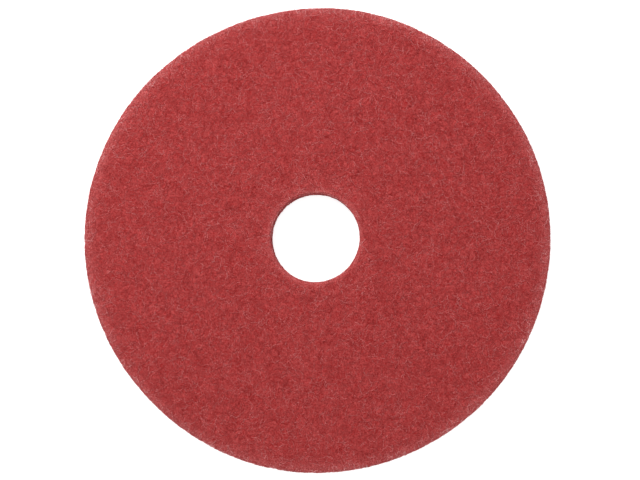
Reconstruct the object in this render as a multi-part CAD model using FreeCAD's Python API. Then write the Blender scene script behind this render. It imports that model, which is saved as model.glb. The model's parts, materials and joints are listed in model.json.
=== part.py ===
# A round floor pad for a rotary floor machine: one die-cut disc of bonded fibre.
#
# Millimetres. The pad lies flat, with +Z up. Its origin is on the axis of the centre
# hole, in the plane of the lower face.
import FreeCAD
import Part

import math
import os

# Standard size of the pad: 17 inches across, about an inch thick.
PAD_DIAMETER = 432.0
PAD_THICKNESS = 25.0

# Standard centre hole, 3 1/4 inches, that goes over the centring disc of a pad driver.
HOLE_DIAMETER = 82.55

# The ring die enters from above and drags the springy web down with it before it cuts,
# so the upper face rolls over at the rim and, less, at the hole.
RIM_ROLL_WIDTH = 18.0
RIM_ROLL_DROP = 4.0
HOLE_ROLL_WIDTH = 8.0
HOLE_ROLL_DROP = 1.4

# Where the die leaves the web, both lower edges are only slightly rounded.
LOWER_EDGE_RADIUS = 2.0

RIM_RADIUS = PAD_DIAMETER / 2
HOLE_RADIUS = HOLE_DIAMETER / 2

AXIS_FOOT = FreeCAD.Vector(0, 0, 0)
AXIS_DIRECTION = FreeCAD.Vector(0, 0, 1)
FULL_TURN = 360


def at(radius, height):
    """A point of the cross-section, by its distance from the axis and its height."""
    return FreeCAD.Vector(radius, 0, height)


def straight(start, end):
    """A straight edge of the cross-section."""
    return Part.LineSegment(start, end).toShape()


def rolled(start, corner, end):
    """A quarter of an ellipse from start to end, tangent to both lines through corner.

    It is a rational curve of degree two whose middle weight is the cosine of 45 degrees.
    """
    curve = Part.BezierCurve()
    curve.setPoles([start, corner, end])
    curve.setWeight(2, math.cos(math.pi / 4))
    return curve.toShape()


def edge_stations(wall_radius, inward, roll_width, roll_drop):
    """Where one wall's roundings begin and end, from the lower face to the upper one.

    inward is the direction, +1 or -1 along the radius, from the wall into the web.
    """
    return {
        "lower_face": at(wall_radius + inward * LOWER_EDGE_RADIUS, 0),
        "lower_corner": at(wall_radius, 0),
        "wall_foot": at(wall_radius, LOWER_EDGE_RADIUS),
        "wall_top": at(wall_radius, PAD_THICKNESS - roll_drop),
        "upper_corner": at(wall_radius, PAD_THICKNESS),
        "upper_face": at(wall_radius + inward * roll_width, PAD_THICKNESS),
    }


def wall_edges(station):
    """The lower rounding, the straight wall and the rolled upper edge of one wall."""
    return [
        rolled(station["lower_face"], station["lower_corner"], station["wall_foot"]),
        straight(station["wall_foot"], station["wall_top"]),
        rolled(station["wall_top"], station["upper_corner"], station["upper_face"]),
    ]


def cross_section():
    """The closed outline of the web on one side of the axis, as a face."""
    rim = edge_stations(RIM_RADIUS, -1, RIM_ROLL_WIDTH, RIM_ROLL_DROP)
    hole = edge_stations(HOLE_RADIUS, 1, HOLE_ROLL_WIDTH, HOLE_ROLL_DROP)
    lower_face = straight(hole["lower_face"], rim["lower_face"])
    upper_face = straight(rim["upper_face"], hole["upper_face"])
    edges = [lower_face, *wall_edges(rim), upper_face, *wall_edges(hole)]
    return Part.Face(Part.Wire(Part.__sortEdges__(edges)))


def floor_pad():
    """The whole pad, its cross-section turned once about the axis of the hole."""
    return cross_section().revolve(AXIS_FOOT, AXIS_DIRECTION, FULL_TURN)


def write(node, shape):
    """Writes one node and prints its size, as a check on the dimensions above."""
    shape.exportStep(os.path.join("parts", node + ".step"))
    box = shape.BoundBox
    size = f"{box.XLength:.2f} x {box.YLength:.2f} x {box.ZLength:.2f} mm"
    print(f"{node}: {size}, {shape.Volume:.0f} mm3, valid {shape.isValid()}")


os.makedirs("parts", exist_ok=True)
write("floor_pad", floor_pad())
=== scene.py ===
# %% [markdown]
# # A red floor pad for a rotary floor machine
#
# The real pad is one disc of air-laid polyester fibre. The crimped fibres are sprayed
# with a red binder, cured into a springy board and punched out by a ring-shaped die.
#
# The imported model gives the size and place of everything. The first step is to load it, and to
# keep its box.

# %% Load the imported frame
import json
import math
import random

import bmesh
import bpy
from mathutils import Matrix, Vector, noise

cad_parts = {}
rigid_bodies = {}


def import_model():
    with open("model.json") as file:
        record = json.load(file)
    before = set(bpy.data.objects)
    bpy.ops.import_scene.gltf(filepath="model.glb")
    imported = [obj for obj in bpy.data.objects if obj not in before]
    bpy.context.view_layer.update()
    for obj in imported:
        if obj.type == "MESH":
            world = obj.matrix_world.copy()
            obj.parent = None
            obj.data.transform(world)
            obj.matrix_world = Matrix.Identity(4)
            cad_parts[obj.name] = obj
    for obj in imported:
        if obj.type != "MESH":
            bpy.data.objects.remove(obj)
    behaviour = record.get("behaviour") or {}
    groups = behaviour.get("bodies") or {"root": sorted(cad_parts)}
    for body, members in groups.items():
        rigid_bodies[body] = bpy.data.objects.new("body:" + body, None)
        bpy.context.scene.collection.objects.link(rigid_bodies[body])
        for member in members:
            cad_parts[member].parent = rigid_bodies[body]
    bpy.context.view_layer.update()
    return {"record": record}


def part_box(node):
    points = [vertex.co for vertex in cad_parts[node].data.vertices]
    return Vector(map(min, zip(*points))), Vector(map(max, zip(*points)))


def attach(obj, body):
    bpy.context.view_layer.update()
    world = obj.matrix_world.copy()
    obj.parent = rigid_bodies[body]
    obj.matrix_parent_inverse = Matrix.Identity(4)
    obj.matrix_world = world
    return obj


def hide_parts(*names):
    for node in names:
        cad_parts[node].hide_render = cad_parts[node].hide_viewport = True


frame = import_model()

# %% [markdown]
# ## The pad's own sizes
#
# Everything below is worked out from four sizes: the radius of the pad, its thickness,
# the radius of the hole, and how far the die drags the upper face down beside each cut.
# The first three come from the frame. The die's roll-over belongs to the way the pad is
# cut: it is wide and soft at the rim, and narrow and slight at the hole.

# %% Sizes from the frame
MM = 0.001
pad_low, pad_high = (Vector(corner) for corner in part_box("floor_pad"))
PAD_RADIUS = (pad_high.x - pad_low.x) / 2
THICKNESS = pad_high.z - pad_low.z
mounts = {mount["name"]: mount for mount in frame["record"]["mounts"]}
HOLE_RADIUS = mounts["centre_hole"]["dims"]["r_mm"] * MM

RIM_ROLL_WIDTH = 18 * MM
RIM_ROLL_DROP = 4 * MM
HOLE_ROLL_WIDTH = 8 * MM
HOLE_ROLL_DROP = 1.4 * MM
LOWER_ROUNDING = 2 * MM
print(f"pad radius {PAD_RADIUS:.4f}, thickness {THICKNESS:.4f}, hole radius {HOLE_RADIUS:.4f}")

# %% [markdown]
# ## The camera
#
# The pad is looked at almost straight down, from a little over a metre above it. The
# camera leans a few degrees towards the front right corner, which shows a sliver of the
# hole's back left wall. A direction and a distance from a point on the pad are easier
# to read, and to change, than three coordinates and three angles.

# %% Camera
CAMERA_DISTANCE = 1.10
CAMERA_LEAN = math.radians(5.0)
CAMERA_SIDE = math.radians(-44)
VIEW_WIDTH = 0.5906
SENSOR_WIDTH = 36.0
AIM_ACROSS = 0.0049
AIM_UP = -0.0026

aim = Vector((AIM_ACROSS, AIM_UP, THICKNESS))
lean_direction = Vector(
    (
        math.sin(CAMERA_LEAN) * math.cos(CAMERA_SIDE),
        math.sin(CAMERA_LEAN) * math.sin(CAMERA_SIDE),
        math.cos(CAMERA_LEAN),
    )
)
camera_data = bpy.data.cameras.new("camera")
camera_data.sensor_width = SENSOR_WIDTH
camera_data.lens = SENSOR_WIDTH * CAMERA_DISTANCE / VIEW_WIDTH
camera = bpy.data.objects.new("camera", camera_data)
bpy.context.collection.objects.link(camera)
camera.location = aim + CAMERA_DISTANCE * lean_direction

backward = lean_direction
rightward = Vector((0, 1, 0)).cross(backward).normalized()
upward = backward.cross(rightward)
camera.rotation_euler = Matrix((rightward, upward, backward)).transposed().to_euler()
bpy.context.scene.camera = camera
print(f"lens {camera_data.lens:.1f} mm, camera at {camera.location[:]}")

# %% [markdown]
# ## The floor
#
# A pad like this is shown on a white sweep under big soft lamps. The floor is a plain
# sheet that scatters light. To the camera it also glows, as an overexposed backdrop
# does, so that it stays white right up to the pad. The glow isn't seen by the pad
# itself, whose walls would look lit from below.

# %% Floor
WHITE = (1, 1, 1, 1)
FLOOR_WHITE = (0.82, 0.82, 0.82, 1)
FLOOR_ROUGHNESS = 0.9
FLOOR_SHINE = 0.1
FLOOR_SIZE = 12.0
FLOOR_GLOW = 0.70

floor_mesh = bpy.data.meshes.new("floor")
sheet = bmesh.new()
bmesh.ops.create_grid(sheet, x_segments=1, y_segments=1, size=FLOOR_SIZE / 2)
sheet.to_mesh(floor_mesh)
sheet.free()
floor = bpy.data.objects.new("floor", floor_mesh)
bpy.context.collection.objects.link(floor)

floor_paint = bpy.data.materials.new("white_sweep")
floor_paint.use_nodes = True
floor_nodes = floor_paint.node_tree.nodes
floor_links = floor_paint.node_tree.links
floor_shader = floor_nodes["Principled BSDF"]
floor_shader.inputs["Base Color"].default_value = FLOOR_WHITE
floor_shader.inputs["Roughness"].default_value = FLOOR_ROUGHNESS
floor_shader.inputs["Specular IOR Level"].default_value = FLOOR_SHINE
floor_shader.inputs["Emission Color"].default_value = WHITE
seen_directly = floor_nodes.new("ShaderNodeLightPath").outputs["Is Camera Ray"]
glow = floor_nodes.new("ShaderNodeMath")
glow.operation = "MULTIPLY"
glow.inputs[1].default_value = FLOOR_GLOW
floor_links.new(seen_directly, glow.inputs[0])
floor_links.new(glow.outputs[0], floor_shader.inputs["Emission Strength"])
floor_mesh.materials.append(floor_paint)
print(f"floor: a white sheet {FLOOR_SIZE:.0f} m square")

# %% [markdown]
# ## Lamps and world
#
# One large lamp stands at the back left. It lights the edges that face it, and leaves
# the wall of the hole on its own side dark. A weak one hangs overhead. A point of light
# would draw hard shadows between the fibres, so both are broad squares.

# %% Lamps
KEY_LAMP_PLACE = (-0.44, 0.74, 0.86)
KEY_LAMP_SIZE = 0.8
KEY_LAMP_POWER = 8
TOP_LAMP_PLACE = (0.0, 0.2, 2.2)
TOP_LAMP_SIZE = 1.6
TOP_LAMP_POWER = 3


def soft_lamp(name, place, size, power):
    """A square area lamp of the given size and power, aimed at the pad."""
    light = bpy.data.lights.new(name, "AREA")
    light.shape = "SQUARE"
    light.size = size
    light.energy = power
    lamp = bpy.data.objects.new(name, light)
    bpy.context.collection.objects.link(lamp)
    lamp.location = place
    lamp.rotation_euler = Vector(place).to_track_quat("Z", "Y").to_euler()
    print(f"{name}: {size} m across, {power} W")


soft_lamp("key_lamp", KEY_LAMP_PLACE, KEY_LAMP_SIZE, KEY_LAMP_POWER)
soft_lamp("top_lamp", TOP_LAMP_PLACE, TOP_LAMP_SIZE, TOP_LAMP_POWER)

# %% [markdown]
# A white world fills in everything else. The camera sees it as pure white, and the pad
# gets a little less of it. The Standard view keeps the reds as they are mixed.

# %% World
WORLD_LIGHT = 0.74
WORLD_SEEN = 1.0

world = bpy.data.worlds.new("studio")
world.use_nodes = True
world_nodes = world.node_tree.nodes
world_strength = world_nodes.new("ShaderNodeMapRange")
world_strength.inputs["To Min"].default_value = WORLD_LIGHT
world_strength.inputs["To Max"].default_value = WORLD_SEEN
seen_directly = world_nodes.new("ShaderNodeLightPath").outputs["Is Camera Ray"]
world.node_tree.links.new(seen_directly, world_strength.inputs["Value"])
backdrop = world_nodes["Background"]
backdrop.inputs["Color"].default_value = WHITE
world.node_tree.links.new(world_strength.outputs[0], backdrop.inputs["Strength"])
bpy.context.scene.world = world
bpy.context.scene.view_settings.view_transform = "Standard"
print(f"world: {WORLD_LIGHT} as light, {WORLD_SEEN} to the camera")

# %% [markdown]
# ## Shader arithmetic
#
# A pattern is easier to read as a sum than as a web of nodes. This small class holds one
# output socket, and its operators add Math nodes. Everything that isn't plain arithmetic
# comes from one method, node, which sets a node's settings first and then its sockets.


# %% A value that flows out of a shader node
class Flow:
    """One output socket of a shader node, with arithmetic that adds Math nodes."""

    def __init__(self, socket):
        self.socket = socket
        self.tree = socket.id_data

    def node(self, kind, settings, inputs, output=0):
        """Adds a node of any kind beside this one and returns one of its outputs."""
        made = self.tree.nodes.new(kind)
        for name, value in settings.items():
            setattr(made, name, value)
        for name, value in inputs.items():
            if isinstance(value, Flow):
                self.tree.links.new(value.socket, made.inputs[name])
            else:
                made.inputs[name].default_value = value
        return Flow(made.outputs[output])

    def math(self, operation, first, second):
        """Adds one Math node."""
        return self.node("ShaderNodeMath", {"operation": operation}, {0: first, 1: second})

    def __add__(self, other):
        return self.math("ADD", self, other)

    __radd__ = __add__

    def __sub__(self, other):
        return self.math("SUBTRACT", self, other)

    def __rsub__(self, other):
        return self.math("SUBTRACT", other, self)

    def __mul__(self, other):
        return self.math("MULTIPLY", self, other)

    __rmul__ = __mul__

    def __abs__(self):
        return self.node("ShaderNodeMath", {"operation": "ABSOLUTE"}, {0: self})

    def stretch(self, low, high):
        """0 below low, 1 above high, and a soft step between."""
        settings = {"interpolation_type": "SMOOTHSTEP"}
        inputs = {"Value": self, "From Min": low, "From Max": high}
        return self.node("ShaderNodeMapRange", settings, inputs)

    def mix(self, first, second):
        """A colour that goes from first to second as this value goes from 0 to 1."""
        settings = {"data_type": "RGBA"}
        return self.node("ShaderNodeMix", settings, {0: self, 6: first, 7: second}, 2)


print("Flow is ready: + - * and abs, stretch, mix and node")

# %% [markdown]
# Both kinds of material on the pad start in the same way, are fed in the same way, and
# are built on soft noise. The sheen is the dusty look of thousands of fine loose ends.

# %% Helpers for materials
SHEEN_WEIGHT = 0.06
SHEEN_ROUGHNESS = 0.5


def new_material(name):
    """A material, its main shader node, and its object coordinates as a Flow."""
    material = bpy.data.materials.new(name)
    material.use_nodes = True
    tree = material.node_tree
    shader = tree.nodes["Principled BSDF"]
    coordinates = tree.nodes.new("ShaderNodeTexCoord")
    return material, shader, Flow(coordinates.outputs["Object"])


def feed(flow, shader, socket):
    """Links a Flow to one socket of the main shader."""
    flow.tree.links.new(flow.socket, shader.inputs[socket])


def cloud(place, size, detail=2.0, roughness=0.5, distortion=0.0):
    """Soft random noise from 0 to 1 whose lumps are about size metres across."""
    inputs = {
        "Vector": place,
        "Scale": 1 / size,
        "Detail": detail,
        "Roughness": roughness,
        "Distortion": distortion,
    }
    return place.node("ShaderNodeTexNoise", {"noise_dimensions": "3D"}, inputs)


def dusty(shader, shine, tint):
    """Sets how little the fibres shine, and their faint sheen."""
    shader.inputs["Specular IOR Level"].default_value = shine
    shader.inputs["Sheen Weight"].default_value = SHEEN_WEIGHT
    shader.inputs["Sheen Roughness"].default_value = SHEEN_ROUGHNESS
    shader.inputs["Sheen Tint"].default_value = tint


print(f"sheen of every fibre: {SHEEN_WEIGHT}")

# %% [markdown]
# ## Paler beside the cuts: worn fibres and painted light
#
# The die rubs the binder off the fibres that it drags down, so the pad is paler beside its two
# cuts: clearly in a narrow band, and faintly well into the face. Part of that paleness is painted
# light: a painted sheen along the cut edges, and light painted onto the rolled edges, which would
# otherwise fall into shade. It is palest at the top, where the die enters and where the edges roll
# over. A mix towards one pale red would wipe the texture out there. The colour is multiplied
# instead, which lightens it and keeps its grain.

# %% Paler beside the cuts
# The lift of the colour beside the cuts: partly worn fibres, partly painted light.
SCUFF_AND_LIGHT_GAIN = (1.55, 3.1, 3.1, 1)
RIM_SCUFF_AND_LIGHT = 16 * MM
HOLE_SCUFF_AND_LIGHT = 8 * MM
FAINT_SCUFF_AND_LIGHT = 30 * MM
CLEAR_SHARE = 0.6
FAINT_SHARE = 0.08
WALL_SHARE = 0.35
WALL_PALE_FROM = THICKNESS - 14 * MM
WALL_PALEST_FROM = THICKNESS - 4 * MM
LEVEL_ONLY = (1, 1, 0)


def rubbed_and_lit(distance, width):
    """How much paler the colour is this far from a cut, from wear and painted light: clearly near
    it, faintly further off.
    """
    clear = 1 - distance.stretch(0, width)
    faint = 1 - distance.stretch(0, FAINT_SCUFF_AND_LIGHT)
    return clear * clear * CLEAR_SHARE + faint * FAINT_SHARE


def scuffed_and_lit(place, colour):
    """The colour, paler towards the two cuts: binder worn off, and painted light."""
    settings = {"operation": "MULTIPLY"}
    flat = place.node("ShaderNodeVectorMath", settings, {0: place, 1: LEVEL_ONLY})
    radius = flat.node("ShaderNodeVectorMath", {"operation": "LENGTH"}, {0: flat}, "Value")
    height = place.node("ShaderNodeSeparateXYZ", {}, {0: place}, "Z")
    at_rim = rubbed_and_lit(PAD_RADIUS - radius, RIM_SCUFF_AND_LIGHT)
    at_hole = rubbed_and_lit(radius - HOLE_RADIUS, HOLE_SCUFF_AND_LIGHT)
    near_top = height.stretch(WALL_PALE_FROM, WALL_PALEST_FROM)
    # Painted light as well as wear: the same paleness lightens the rolled edges against their shade
    # and stands in for a sheen along the cuts.
    bare_and_lit = (at_rim + at_hole) * (WALL_SHARE + near_top * (1 - WALL_SHARE))
    lighten = {"data_type": "RGBA", "blend_type": "MULTIPLY", "clamp_result": True}
    return colour.node("ShaderNodeMix", lighten, {0: bare_and_lit, 6: colour, 7: SCUFF_AND_LIGHT_GAIN}, 2)


print(f"paler for {RIM_SCUFF_AND_LIGHT / MM:.0f} mm at the rim and {HOLE_SCUFF_AND_LIGHT / MM:.0f} mm at the hole")

# %% [markdown]
# ## The finish of the web
#
# Under the loose fibres the pad is a mat of thousands more, glued where they cross. From near to,
# three things show: curly strands, dark pores between them, and a soft mottle where the web is
# thicker or thinner. The body is a closed skin, so the dark of the pores is painted shade, the
# shadow that would lie in them.
#
# A strand that curls is just a contour line of soft noise. Where the noise is close to
# one half the value abs(noise - 0.5) is close to zero, and that narrow band wanders and
# loops like a fibre. Three such layers at different places make a mat.

# %% Web material
DEEP_RED = (0.34, 0.014, 0.015, 1)
WEB_RED = (0.51, 0.065, 0.064, 1)
PALE_RED = (0.66, 0.14, 0.13, 1)
CURL_SIZE = 5.5 * MM
STRAND_BAND = 0.035
LAYER_SHIFT = (0.31, 0.17, 0.23)
LAYERED = (1, 1, 2.6)
WALL_SHADE = 0.45
PORE_SIZE = 1.05 * MM
MOTTLE_SIZE = 11 * MM
LAYER_SHARES = (0.5, 0.35, 0.3)
PORE_EDGES = (0.37, 0.59)
MOTTLE_EDGES = (0.30, 0.72)
PORE_SHARE = 0.92
PALE_SHARE = 0.25
STRAND_HEIGHT = 0.7
PORE_HEIGHT = 0.6
BUMP_STRENGTH = 0.9
BUMP_DISTANCE = 0.6 * MM
WEB_ROUGHNESS = 0.95
STRAND_SMOOTHNESS = 0.2
WEB_SHINE = 0.15
WEB_SHEEN = (1.0, 0.72, 0.70, 1)


def strands(place, layer):
    """1 on the curly strands of one layer of the mat, 0 between them."""
    shift = [layer * step for step in LAYER_SHIFT]
    inputs = {"Vector": place, "Location": shift, "Scale": LAYERED}
    moved = place.node("ShaderNodeMapping", {"vector_type": "POINT"}, inputs)
    wander = cloud(moved, CURL_SIZE, detail=1.5, distortion=0.6)
    return 1 - abs(wander - 0.5).stretch(0, STRAND_BAND)


def web_material():
    """The mat of glued strands: its colour, its pores and its bumps."""
    material, shader, place = new_material("pad_web")
    layers = [strands(place, layer) * share for layer, share in enumerate(LAYER_SHARES, 1)]
    mat = layers[0] + layers[1] + layers[2]
    pores = cloud(place, PORE_SIZE, detail=3, roughness=0.6).stretch(*PORE_EDGES)
    mottle = cloud(place, MOTTLE_SIZE, detail=3, roughness=0.6).stretch(*MOTTLE_EDGES)
    # Painted shade: where the pore noise is low the body is painted deep red, for the shadow in a
    # pore; the mottle is the web's own tone.
    body = (pores * PORE_SHARE + mottle * (1 - PORE_SHARE)).mix(DEEP_RED, WEB_RED)
    # Painted shade: the more upright a face, such as a cut wall, the more it is painted towards the
    # deep red.
    normal = place.node("ShaderNodeNewGeometry", {}, {}, "Normal")
    upright = 1 - abs(normal.node("ShaderNodeSeparateXYZ", {}, {0: normal}, "Z"))
    shaded = (upright * WALL_SHADE).mix(body, DEEP_RED)
    colour = (mat * PALE_SHARE).mix(shaded, PALE_RED)
    feed(scuffed_and_lit(place, colour), shader, "Base Color")
    feed(WEB_ROUGHNESS - mat * STRAND_SMOOTHNESS, shader, "Roughness")
    height = mat * STRAND_HEIGHT + pores * PORE_HEIGHT
    bumps = {"Height": height, "Strength": BUMP_STRENGTH, "Distance": BUMP_DISTANCE}
    feed(height.node("ShaderNodeBump", {}, bumps), shader, "Normal")
    dusty(shader, WEB_SHINE, WEB_SHEEN)
    return material


web_red = web_material()
print("web material:", len(web_red.node_tree.nodes), "nodes")

# %% [markdown]
# ## The shape of the pad's surface
#
# The body and the fibres that lie on it have to agree about where the surface is, so
# these short functions say it once. The web is never quite even: it swells and sinks by
# a fraction of a millimetre, and a springy web that has been punched by a round die
# relaxes to a shape that is a hair out of round. That stray is a sum of waves round the
# rim: how many there are, how far each reaches, and where it starts, in radians.

# %% Where the surface is
LUMP_SIZES = (26 * MM, 9 * MM)
LUMP_HEIGHTS = (0.12 * MM, 0.06 * MM)
OUT_OF_ROUND = (
    (2, 0.40 * MM, 0.15),
    (3, 0.50 * MM, -2.5),
    (4, 0.30 * MM, 1.0),
    (6, 0.18 * MM, -2.0),
)


def lumps(point):
    """How far the web stands out, or in, at a point of its surface."""
    return sum(
        height * noise.noise(point / size, noise_basis="PERLIN_ORIGINAL")
        for size, height in zip(LUMP_SIZES, LUMP_HEIGHTS)
    )


def out_of_round(angle):
    """How far the rim strays from a true circle in this direction."""
    return sum(reach * math.cos(waves * angle + start) for waves, reach, start in OUT_OF_ROUND)


def roll_over(inward, width, drop):
    """How far the face has dropped, this far inward from a cut edge."""
    if inward >= width:
        return 0.0
    across = 1 - max(inward, 0) / width
    return drop * (1 - math.sqrt(1 - across**2))


def upper_height(radius):
    """The height of the upper face at this distance from the axis."""
    rim_drop = roll_over(PAD_RADIUS - radius, RIM_ROLL_WIDTH, RIM_ROLL_DROP)
    hole_drop = roll_over(radius - HOLE_RADIUS, HOLE_ROLL_WIDTH, HOLE_ROLL_DROP)
    return THICKNESS - rim_drop - hole_drop


print(f"upper face: {upper_height(PAD_RADIUS) / MM:.1f} mm high at the rim")

# %% [markdown]
# ## The body of the web
#
# The body could be a lathe turning, but then its faces would crowd together round the
# hole and stretch out at the rim. A voxel remesh gives faces of one size everywhere,
# which is what an even, lumpy web needs. So the cross-section is turned with spin, the
# result is remeshed, and each vertex is then moved out or in by the lumps above.
#
# The body is a third of a millimetre smaller than the pad all round, because the loose
# fibres that come next take up that space.

# %% Cross-section of the body
FIBRE_LAYER = 0.35 * MM
ARC_STEPS = 8


def quarter_arc(centre, reach_out, reach_up, steps):
    """Points of a quarter ellipse from beside its centre to above or below it."""
    for step in range(steps + 1):
        turn = math.pi / 2 * step / steps
        yield centre + Vector((reach_out * math.cos(turn), 0, reach_up * math.sin(turn)))


def body_outline():
    """The closed cross-section of the body, anticlockwise from its lower outer edge."""
    rim, hole = PAD_RADIUS - FIBRE_LAYER, HOLE_RADIUS + FIBRE_LAYER
    low, high = FIBRE_LAYER, THICKNESS - FIBRE_LAYER
    soft = LOWER_ROUNDING
    corners = (
        (rim - soft, low + soft, soft, -soft, True),
        (rim - RIM_ROLL_WIDTH, high - RIM_ROLL_DROP, RIM_ROLL_WIDTH, RIM_ROLL_DROP, False),
        (hole + HOLE_ROLL_WIDTH, high - HOLE_ROLL_DROP, -HOLE_ROLL_WIDTH, HOLE_ROLL_DROP, True),
        (hole + soft, low + soft, -soft, -soft, False),
    )
    outline = []
    for out, up, reach_out, reach_up, backwards in corners:
        arc = list(quarter_arc(Vector((out, 0, up)), reach_out, reach_up, ARC_STEPS))
        outline += reversed(arc) if backwards else arc
    return outline


print("cross-section:", len(body_outline()), "points")

# %% [markdown]
# Spin turns that loop of points about the axis. Its last step meets its first, so the
# seam is merged. The normals are then recalculated, because a turned shell may come out
# facing inwards.

# %% Turn the cross-section
TURN_STEPS = 180
MERGE_DISTANCE = 0.01 * MM


def turned_body():
    """The cross-section turned once about the axis, as a closed shell."""
    shell = bmesh.new()
    loop = [shell.verts.new(point) for point in body_outline()]
    edges = [shell.edges.new(pair) for pair in zip(loop, loop[1:] + loop[:1])]
    bmesh.ops.spin(
        shell,
        geom=loop + edges,
        cent=(0, 0, 0),
        axis=(0, 0, 1),
        angle=math.tau,
        steps=TURN_STEPS,
        use_merge=True,
    )
    bmesh.ops.remove_doubles(shell, verts=shell.verts, dist=MERGE_DISTANCE)
    bmesh.ops.recalc_face_normals(shell, faces=shell.faces)
    return shell


def new_piece(name, mesh_source):
    """A new object at the origin from a bmesh, which is freed."""
    mesh = bpy.data.meshes.new(name)
    mesh_source.to_mesh(mesh)
    mesh_source.free()
    piece = bpy.data.objects.new(name, mesh)
    bpy.context.collection.objects.link(piece)
    return piece


pad_web = new_piece("pad_web", turned_body())
print("turned body:", len(pad_web.data.polygons), "faces")

# %% [markdown]
# The voxel remesh is a modifier. It is applied by swapping the piece's mesh for the
# finished one, because the step after it moves the new vertices.

# %% Even out the faces
BODY_VOXEL = 1.9 * MM


def applied(piece):
    """Swaps a piece's mesh for the one that its modifiers make of it."""
    view = bpy.context.evaluated_depsgraph_get()
    finished = bpy.data.meshes.new_from_object(piece.evaluated_get(view))
    piece.modifiers.clear()
    rough = piece.data
    piece.data = finished
    bpy.data.meshes.remove(rough)
    finished.name = piece.name


remesh = pad_web.modifiers.new("even_faces", "REMESH")
remesh.mode = "VOXEL"
remesh.voxel_size = BODY_VOXEL
remesh.use_smooth_shade = True
applied(pad_web)
print("remeshed body:", len(pad_web.data.polygons), "faces")

# %% [markdown]
# The lumps are weaker on the cut walls, which the die has left fairly even. The rim
# strays out of round, the edge of the hole doesn't, and the face between them shares it
# out. Nothing goes below the floor.

# %% Roughen the body
LOWEST_SKIN = 0.1 * MM
WALL_EVENNESS = 0.3

places = [vertex.co.copy() for vertex in pad_web.data.vertices]
normals = [vertex.normal.copy() for vertex in pad_web.data.vertices]
for vertex, place, normal in zip(pad_web.data.vertices, places, normals):
    evenness = WALL_EVENNESS + (1 - WALL_EVENNESS) * abs(normal.z)
    moved = place + normal * lumps(place) * evenness
    out = Vector((moved.x, moved.y, 0))
    share = max(0, (out.length - HOLE_RADIUS) / (PAD_RADIUS - HOLE_RADIUS))
    moved += out.normalized() * out_of_round(math.atan2(out.y, out.x)) * share
    moved.z = max(moved.z, LOWEST_SKIN)
    vertex.co = moved
pad_web.data.update()
pad_web.data.materials.append(web_red)

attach(pad_web, "root")
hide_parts("floor_pad")
print("body of the web:", len(pad_web.data.polygons), "faces")

# %% [markdown]
# ## The finish of a loose fibre
#
# The binder doesn't coat every fibre alike. Most are the pad's red, some carry more
# binder and are deeper, and some, nearly bare, are pale and catch the light. Three
# materials say so. Each goes from a thin coat to a thick one and back within a few
# millimetres, so a pale or a deep fibre shows only in short stretches.

# %% Fibre materials
COAT_SIZE = 1.3 * MM
COAT_EDGES = (0.38, 0.62)
THIN_COAT_ROUGHNESS = 0.42
THICK_COAT_ROUGHNESS = 0.62
FIBRE_SHEEN = (1.0, 0.75, 0.72, 1)


def fibre_material(name, thin_coat, thick_coat, shine):
    """A coated fibre whose red is uneven along its length."""
    material, shader, place = new_material(name)
    coat = cloud(place, COAT_SIZE).stretch(*COAT_EDGES)
    feed(scuffed_and_lit(place, coat.mix(thin_coat, thick_coat)), shader, "Base Color")
    roughening = THICK_COAT_ROUGHNESS - THIN_COAT_ROUGHNESS
    feed(THIN_COAT_ROUGHNESS + coat * roughening, shader, "Roughness")
    dusty(shader, shine, FIBRE_SHEEN)
    return material


fibre_reds = (
    fibre_material("fibre_red", (0.555, 0.073, 0.073, 1), (0.475, 0.043, 0.043, 1), 0.25),
    fibre_material("fibre_deep", (0.48, 0.040, 0.041, 1), (0.35, 0.014, 0.015, 1), 0.10),
    fibre_material("fibre_pale", (0.76, 0.235, 0.235, 1), (0.56, 0.065, 0.065, 1), 0.35),
)
FIBRE_SHARES = (0.52, 0.24, 0.24)
print("fibre materials:", [material.name for material in fibre_reds])

# %% [markdown]
# ## Loose fibres
#
# A fibre is laid as a curve: a list of points, and a thickness that Blender sweeps along
# them. One curve object can hold thousands of separate splines, which is the quick way
# to make a felt, and a three-sided section keeps each of them light. The finished curve
# is turned into a mesh.
#
# Each fibre is walked out step by step over an unrolled surface. Its heading swings to
# and fro, which is the crimp that the mill put in it, and also drifts one way, which is
# how it curls. It also rises and falls a little, and dips into the mat at both ends.
#
# A pair of numbers below is the least and the most of something that is left to chance,
# and lengths in such pairs are in millimetres.

# %% Walk a fibre
STEP = 1.5 * MM
CRIMP_WAVE = (3.6, 6.5)
CRIMP_SWING = (0.3, 1)
HEAVE = (0.05, 0.25)
HEAVE_STRETCH = 1.3
END_DIP = 0.30 * MM
END_SHARPNESS = 3


def walk(start, heading, length, curl, crimp, lift):
    """Steps of one fibre over an unrolled surface: along, across and lift."""
    steps = max(2, round(length / STEP))
    along, across = start
    phase = random.uniform(0, math.tau)
    wave = random.uniform(*CRIMP_WAVE) * MM
    bend = random.uniform(-curl, curl)
    swing = random.uniform(*CRIMP_SWING) * crimp
    heave = random.uniform(*HEAVE) * MM
    for step in range(steps + 1):
        travelled = step * STEP
        end = abs(2 * step / steps - 1) ** END_SHARPNESS
        rise = lift + heave * math.sin(phase + math.tau * travelled / (wave * HEAVE_STRETCH))
        yield along, across, rise - end * END_DIP
        heading += bend * STEP
        turn = heading + swing * math.sin(phase + math.tau * travelled / wave)
        along += STEP * math.cos(turn)
        across += STEP * math.sin(turn)


print(f"a fibre is walked in steps of {STEP / MM} mm")

# %% [markdown]
# A second function, place, puts each unrolled point back in space. It says None where
# the die has cut, so that the fibre ends there. Every fibre is a little uneven in width.

# %% Lay a fibre
FIBRE_THICKNESS = 0.29 * MM
WIDTH_SPREAD = (0.8, 1.2)


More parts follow.
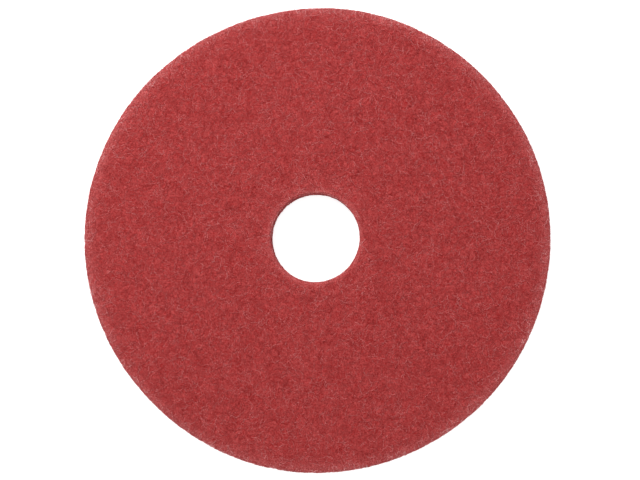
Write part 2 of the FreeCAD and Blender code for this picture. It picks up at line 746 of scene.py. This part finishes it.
def lay(curve, steps, place, thickness, shade):
    """Adds one fibre to a curve as a spline, up to where the die has cut it."""
    points = []
    for along, across, lift in steps:
        point = place(along, across, lift)
        if point is None:
            break
        points.append(point)
    if len(points) < 2:
        return
    spline = curve.splines.new("POLY")
    spline.points.add(len(points) - 1)
    flat = [number for point in points for number in (*point, 1)]
    spline.points.foreach_set("co", flat)
    widths = [thickness * random.uniform(*WIDTH_SPREAD) for _ in points]
    spline.points.foreach_set("radius", widths)
    spline.material_index = shade
    spline.use_smooth = True


print(f"a fibre is about {FIBRE_THICKNESS / MM} mm thick")

# %% [markdown]
# A curve whose bevel is another curve is swept as a tube along every one of its splines.
# Each spline names its material by number, so the curve is given all three before it is
# swept. The mesh that comes out is an ordinary piece.

# %% Sweep fibres into a piece
SECTION_SIDES = 3
SECTION_RADIUS = 0.5


def fibre_section():
    """The closed three-sided outline, one across, that is swept along a fibre."""
    outline = bpy.data.curves.new("fibre_section", "CURVE")
    ring = outline.splines.new("POLY")
    ring.points.add(SECTION_SIDES - 1)
    for side, point in enumerate(ring.points):
        turn = math.tau * side / SECTION_SIDES
        point.co = (SECTION_RADIUS * math.cos(turn), SECTION_RADIUS * math.sin(turn), 0, 1)
    ring.use_cyclic_u = True
    return bpy.data.objects.new("fibre_section", outline)


section = fibre_section()
bpy.context.collection.objects.link(section)


def fibre_piece(name, fibres, place):
    """One piece made of many fibres, laid on the surface that place describes."""
    curve = bpy.data.curves.new(name, "CURVE")
    curve.dimensions = "3D"
    curve.bevel_mode = "OBJECT"
    curve.bevel_object = section
    curve.use_fill_caps = True
    for material in fibre_reds:
        curve.materials.append(material)
    for steps, thickness in fibres:
        shade = random.choices(range(len(fibre_reds)), FIBRE_SHARES)[0]
        lay(curve, steps, place, thickness, shade)
    laid = bpy.data.objects.new(name + "_curve", curve)
    bpy.context.collection.objects.link(laid)
    view = bpy.context.evaluated_depsgraph_get()
    swept = bmesh.new()
    swept.from_mesh(bpy.data.meshes.new_from_object(laid.evaluated_get(view)))
    bpy.data.objects.remove(laid)
    bmesh.ops.recalc_face_normals(swept, faces=swept.faces)
    piece = new_piece(name, swept)
    for material in fibre_reds:
        piece.data.materials.append(material)
    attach(piece, "root")
    faces = piece.data.polygons
    triangles = sum(len(face.vertices) - 2 for face in faces)
    reds = [sum(face.material_index == shade for face in faces) for shade in range(len(fibre_reds))]
    print(f"{name}: {triangles} triangles, faces of each red: {reds}")


print("section of a fibre:", SECTION_SIDES, "sides")

# %% [markdown]
# ## Fibres on the two faces
#
# The web is laid flat, so on both faces the fibres lie every way round but hardly
# stand up. Spots drawn purely at random would clot here and leave bald patches there,
# and a felting machine is more even than that. So the middles of the fibres follow the
# rule that a sunflower packs its seeds by: each spot is one golden angle on from the
# last, and covers as much of the ring as every other. Only the heading, the length and
# the curl are left to chance.

# %% Spots for the fibres
SEED = 17
GOLDEN_ANGLE = math.pi * (3 - math.sqrt(5))

random.seed(SEED)


def seed_spot(number, count, turned):
    """Spot number of count, spread over the ring as evenly as a sunflower's seeds."""
    share = (number + random.random()) / count
    radius = math.sqrt(HOLE_RADIUS**2 + share * (PAD_RADIUS**2 - HOLE_RADIUS**2))
    angle = turned + number * GOLDEN_ANGLE
    return Vector((radius * math.cos(angle), radius * math.sin(angle)))


print(f"golden angle: {math.degrees(GOLDEN_ANGLE):.1f} degrees")

# %% [markdown]
# A fibre starts half its length behind its spot, so that its middle lies about there.
# Some lie a little deeper in the mat than others.

# %% Fibres of a face
FACE_LENGTH = (6, 16)
FACE_LIFT = (-0.28, 0.15)
FACE_THICKNESS = (0.7, 1.25)
FACE_CURL = 260
FACE_CRIMP = 0.9


def face_fibres(count):
    """Curly fibres that lie flat, every way round."""
    turned = random.uniform(0, math.tau)
    for number in range(count):
        heading = random.uniform(0, math.tau)
        length = random.uniform(*FACE_LENGTH) * MM
        forward = Vector((math.cos(heading), math.sin(heading)))
        start = seed_spot(number, count, turned) - forward * length / 2
        lift = random.uniform(*FACE_LIFT) * MM
        thickness = FIBRE_THICKNESS * random.uniform(*FACE_THICKNESS)
        yield walk(start, heading, length, FACE_CURL, FACE_CRIMP, lift), thickness


print(f"face fibres are {FACE_LENGTH[0]} to {FACE_LENGTH[1]} mm long")

# %% [markdown]
# On the upper face a fibre follows the lumps and both rolled edges.

# %% Lay the upper face
UPPER_PIECES = 5
UPPER_FIBRES = 3900


def on_upper_face(along, across, lift):
    """Puts a fibre on the upper face, over its lumps and its rolled edges."""
    radius = math.hypot(along, across)
    stray = out_of_round(math.atan2(across, along))
    if not HOLE_RADIUS < radius < PAD_RADIUS + stray:
        return None
    spot = Vector((along, across, upper_height(radius - stray)))
    spot.z += lumps(spot) + lift
    return spot


for number in range(UPPER_PIECES):
    fibre_piece(f"upper_fibres_{number + 1}", face_fibres(UPPER_FIBRES), on_upper_face)

# %% [markdown]
# The lower face rests on the floor and is seldom seen, so it has fewer fibres, and it is
# flat, because the pad's weight presses it so. Its fibres keep clear of the two cuts,
# whose lower edges are rounded.

# %% Lay the lower face
LOWER_PIECES = 2
LOWER_FIBRES = 3400
LOWER_MARGIN = MM
LOWER_HEIGHT = 0.30 * MM
LOWEST_FIBRE = 0.23 * MM


def on_lower_face(along, across, lift):
    """Puts a fibre on the lower face, where nothing reaches below the floor."""
    radius = math.hypot(along, across)
    if not HOLE_RADIUS + LOWER_MARGIN < radius < PAD_RADIUS - LOWER_MARGIN:
        return None
    return Vector((along, across, max(LOWER_HEIGHT - lift, LOWEST_FIBRE)))


for number in range(LOWER_PIECES):
    fibre_piece(f"lower_fibres_{number + 1}", face_fibres(LOWER_FIBRES), on_lower_face)

# %% [markdown]
# ## Fibres on the cut walls
#
# The die cuts through the layers of the web, so the two walls show what the faces hide:
# fibres that mostly run level, one layer over another, with cut ends that bristle out
# between them. The unrolled wall is a strip, as long as the pad is round.

# %% Where the walls are
WALL_FOOT = 0.25 * MM
WALL_HEAD = THICKNESS - 0.7 * MM
WALL_SINK = 0.1 * MM


def wall_radius(radius, side, height):
    """The radius of a wall at this height; side is +1 on the rim and -1 in the hole."""
    width, drop = RIM_ROLL_WIDTH, RIM_ROLL_DROP
    if side < 0:
        width, drop = HOLE_ROLL_WIDTH, HOLE_ROLL_DROP
    above = min(max((height - (THICKNESS - drop)) / drop, 0), 1)
    below = min(max((LOWER_ROUNDING - height) / LOWER_ROUNDING, 0), 1)
    rolled = width * (1 - math.sqrt(1 - above**2))
    rounded = LOWER_ROUNDING * (1 - math.sqrt(1 - below**2))
    return radius - side * (rolled + rounded)


def on_wall(radius, side):
    """A function that puts a fibre on the rim wall or on the wall of the hole."""

    def put(along, across, lift):
        if not WALL_FOOT < across < WALL_HEAD:
            return None
        angle = along / radius
        stray = out_of_round(angle) if side > 0 else 0
        reach = wall_radius(radius, side, across) + stray + side * (lift - WALL_SINK)
        return Vector((reach * math.cos(angle), reach * math.sin(angle), across))

    return put


on_rim = on_wall(PAD_RADIUS, 1)
in_hole = on_wall(HOLE_RADIUS, -1)
print(f"walls: fibres from {WALL_FOOT / MM:.2f} to {WALL_HEAD / MM:.2f} mm high")

# %% [markdown]
# A fibre in a wall runs nearly level, either way round, with a slight tilt.

# %% Fibres along a wall
WALL_LENGTH = (6, 20)
WALL_THICKNESS = (0.6, 1.1)
WALL_TILT = 0.45
WALL_DEPTH = 0.28 * MM
WALL_CURL = 190
WALL_CRIMP = 0.7


def wall_fibres(radius, count, proud):
    """Fibres that run nearly level along a wall and stand at most this proud of it."""
    for _ in range(count):
        start = (random.uniform(0, math.tau * radius), random.uniform(0, THICKNESS))
        heading = random.choice((0, math.pi)) + random.gauss(0, WALL_TILT)
        length = random.uniform(*WALL_LENGTH) * MM
        lift = random.uniform(-WALL_DEPTH, proud)
        thickness = FIBRE_THICKNESS * random.uniform(*WALL_THICKNESS)
        yield walk(start, heading, length, WALL_CURL, WALL_CRIMP, lift), thickness


print(f"wall fibres are {WALL_LENGTH[0]} to {WALL_LENGTH[1]} mm long")

# %% [markdown]
# A cut end is a stub of three points: a root just inside the wall, a middle that is
# nudged aside, and a tip outside it. These points are in space from the start, so the
# function that places them has nothing to do.

# %% Cut ends
ENDS_FROM = 0.5 * MM
ENDS_TO = THICKNESS - MM
ROOT_DEPTH = 0.4 * MM
END_SCATTER = 0.8
END_LEAN = 0.6
END_REACH = (0.5, 1.1)
END_KINK = 0.12 * MM
END_WIDTH = 0.75
LOWEST_END = 0.2 * MM


def cut_ends(radius, side, count, reach):
    """Fibre ends, about reach long, that bristle out of a cut wall."""
    put = on_wall(radius, side)
    for _ in range(count):
        along = random.uniform(0, math.tau * radius)
        across = random.uniform(ENDS_FROM, ENDS_TO)
        root = put(along, across, -ROOT_DEPTH)
        if root is None:
            continue
        outward = Vector((root.x, root.y, 0)).normalized() * side
        stray = Vector([random.gauss(0, END_SCATTER) for _ in range(3)])
        outward = (outward + stray * END_LEAN).normalized()
        tip = root + outward * reach * random.uniform(*END_REACH)
        tip.z = max(tip.z, LOWEST_END)
        middle = (root + tip) / 2 + stray * END_KINK
        middle.z = max(middle.z, LOWEST_END)
        stub = [(point, None, None) for point in (root, middle, tip)]
        yield stub, END_WIDTH * FIBRE_THICKNESS


def already_placed(point, _across, _lift):
    """For fibres whose points are in space already."""
    return point


print(f"cut ends: {ENDS_FROM / MM:.1f} to {ENDS_TO / MM:.1f} mm up the wall")

# %% [markdown]
# The rim is rubbed whenever the pad is handled, and the wall of the hole is sheltered.
# So the hole's fibres hardly stand proud, and its cut ends are shorter.

# %% Lay the walls
RIM_PIECES = 2
RIM_FIBRES = 4200
RIM_PROUD = 0.20 * MM
RIM_ENDS = 4800
RIM_END_REACH = 1.3 * MM
HOLE_FIBRES = 1500
HOLE_PROUD = 0.05 * MM
HOLE_ENDS = 700
HOLE_END_REACH = 0.9 * MM

for number in range(RIM_PIECES):
    fibres = wall_fibres(PAD_RADIUS, RIM_FIBRES, RIM_PROUD)
    fibre_piece(f"rim_fibres_{number + 1}", fibres, on_rim)
ends = cut_ends(PAD_RADIUS, 1, RIM_ENDS, RIM_END_REACH)
fibre_piece("rim_cut_ends", ends, already_placed)
fibres = wall_fibres(HOLE_RADIUS, HOLE_FIBRES, HOLE_PROUD)
fibre_piece("hole_fibres", fibres, in_hole)
ends = cut_ends(HOLE_RADIUS, -1, HOLE_ENDS, HOLE_END_REACH)
fibre_piece("hole_cut_ends", ends, already_placed)

bpy.data.objects.remove(section)
